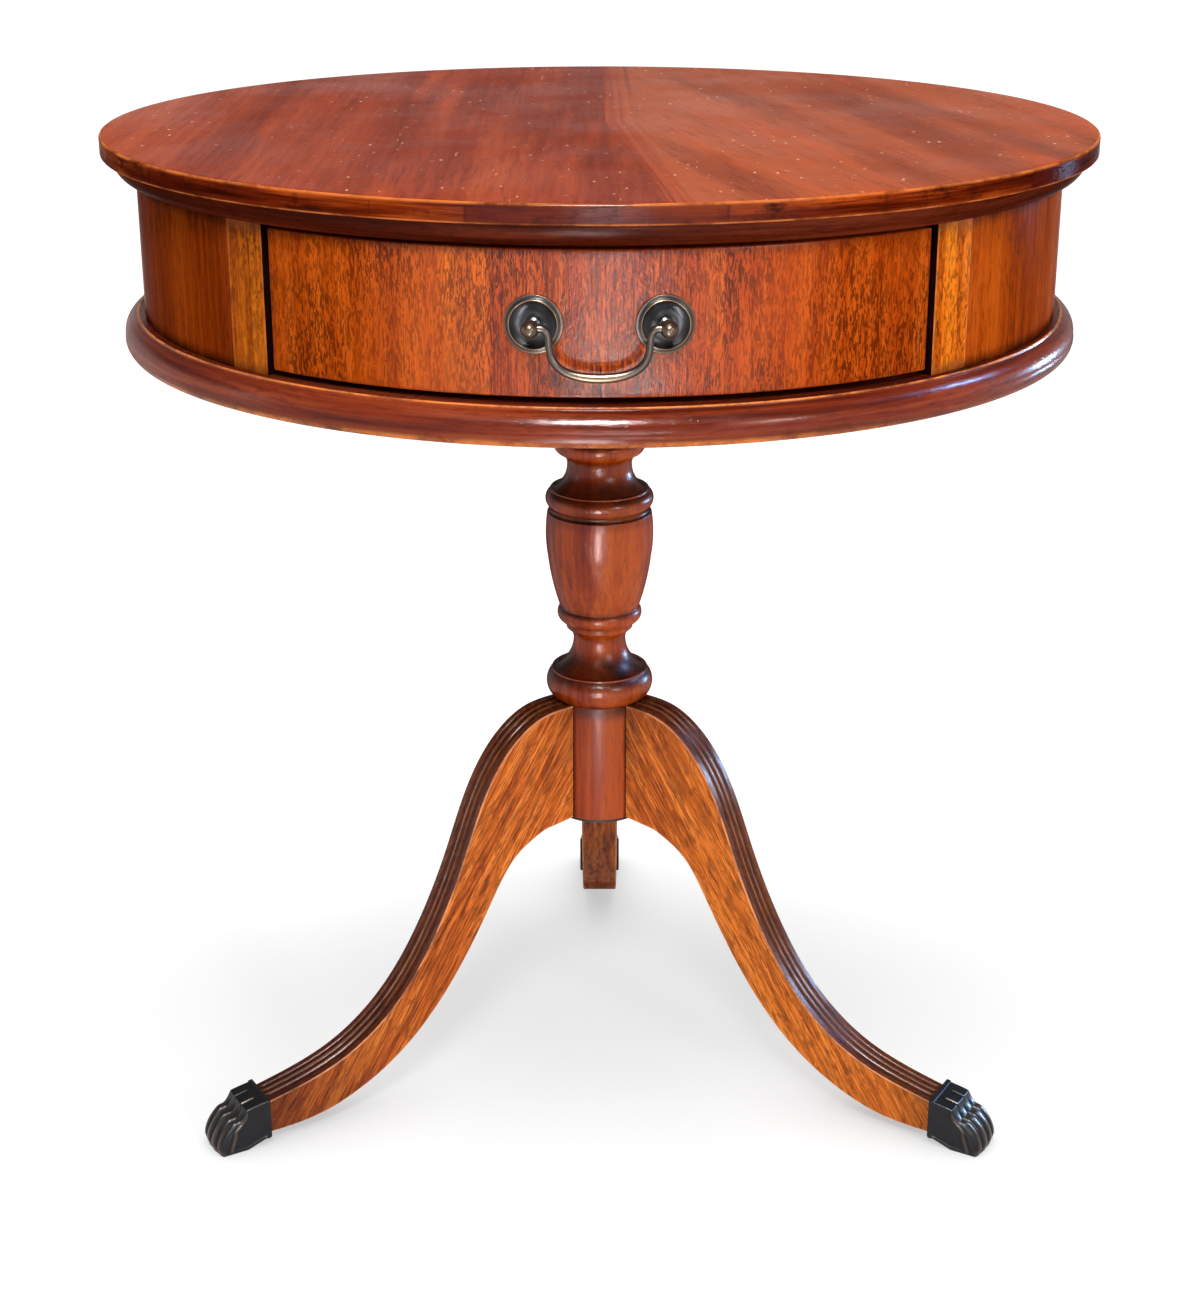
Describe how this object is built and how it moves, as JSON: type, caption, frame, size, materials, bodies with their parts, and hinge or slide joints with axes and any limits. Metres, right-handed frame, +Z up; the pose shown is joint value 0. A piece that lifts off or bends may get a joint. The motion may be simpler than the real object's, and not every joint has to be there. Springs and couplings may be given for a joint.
{
  "type": "drum table",
  "caption": "Round drum table: veneered top over a shallow drum with a curved drawer and bail pull, turned column, fluted sabre legs and cast paw toe caps.",
  "frame": {"origin": "on the floor, under the axis of the column", "axes": "+Z up along the column, -Y towards the drawer's face, +X to the right of someone facing the drawer"},
  "size_m": [0.6839, 0.684, 0.724],
  "materials": {
    "top_veneer": "hazy polished red-brown veneer with worn specks",
    "edge_veneer": "glossy varnished cross-banded veneer, worn at the arris",
    "moulding_wood": "dark red-brown polish, rubbed through on the edges",
    "drum_veneer": "glossy brown veneer with upright grain",
    "stile_wood": "glossy golden brown wood",
    "drawer_veneer": "glossy orange-brown ribbon veneer with dark flecks",
    "column_wood": "deep red-brown polish, dark in the hollows",
    "leg_wood": "orange-brown polish with dark streaks",
    "inner_wood": "unpolished secondary wood",
    "drawer_lining": "planed and waxed drawer wood",
    "claw_bronze": "cast, nearly black patina rubbed bright on the edges",
    "pull_brass": "antique patina with bright worn ridges",
    "spider_iron": "black iron",
    "screw_steel": "dull steel"
  },
  "bodies": {
    "table": {"top_board": "top_veneer", "top_edge_band": "edge_veneer", "top_moulding": "moulding_wood", "drum_wall": "drum_veneer", "stile_left": "stile_wood", "stile_right": "stile_wood", "glue_blocks_upper": "inner_wood", "glue_blocks_lower": "inner_wood", "base_moulding": "moulding_wood", "drum_floor": "inner_wood", "runner_left": "inner_wood", "runner_right": "inner_wood", "runner_screws": "screw_steel", "kicker_left": "inner_wood", "kicker_right": "inner_wood", "kicker_screws": "screw_steel", "stop_left": "inner_wood", "stop_right": "inner_wood", "column_cleat": "inner_wood", "cleat_screws": "screw_steel", "column": "column_wood", "spider_plate": "spider_iron", "spider_screws": "screw_steel", "leg_left": "leg_wood", "leg_right": "leg_wood", "leg_rear": "leg_wood", "claw_left": "claw_bronze", "claw_right": "claw_bronze", "claw_rear": "claw_bronze", "claw_screws": "screw_steel"},
    "drawer": {"drawer_front": "drawer_veneer", "drawer_side_left": "drawer_lining", "drawer_side_right": "drawer_lining", "drawer_back": "drawer_lining", "drawer_bottom": "drawer_lining", "bottom_nails": "screw_steel", "rosette_left": "pull_brass", "rosette_right": "pull_brass", "post_left": "pull_brass", "post_right": "pull_brass", "post_washers": "pull_brass", "post_nuts": "pull_brass"},
    "bail": {"bail": "pull_brass"}
  },
  "joints": [
    {"name": "drawer_slide", "type": "slide", "parent": "table", "child": "drawer", "axis": [0, -1, 0], "range_m": [0, 0.28]},
    {"name": "bail_swing", "type": "hinge", "parent": "drawer", "child": "bail", "pos_m": [0, -0.3328, 0.651], "axis": [-1, 0, 0], "range_deg": [-20, 200]}
  ]
}
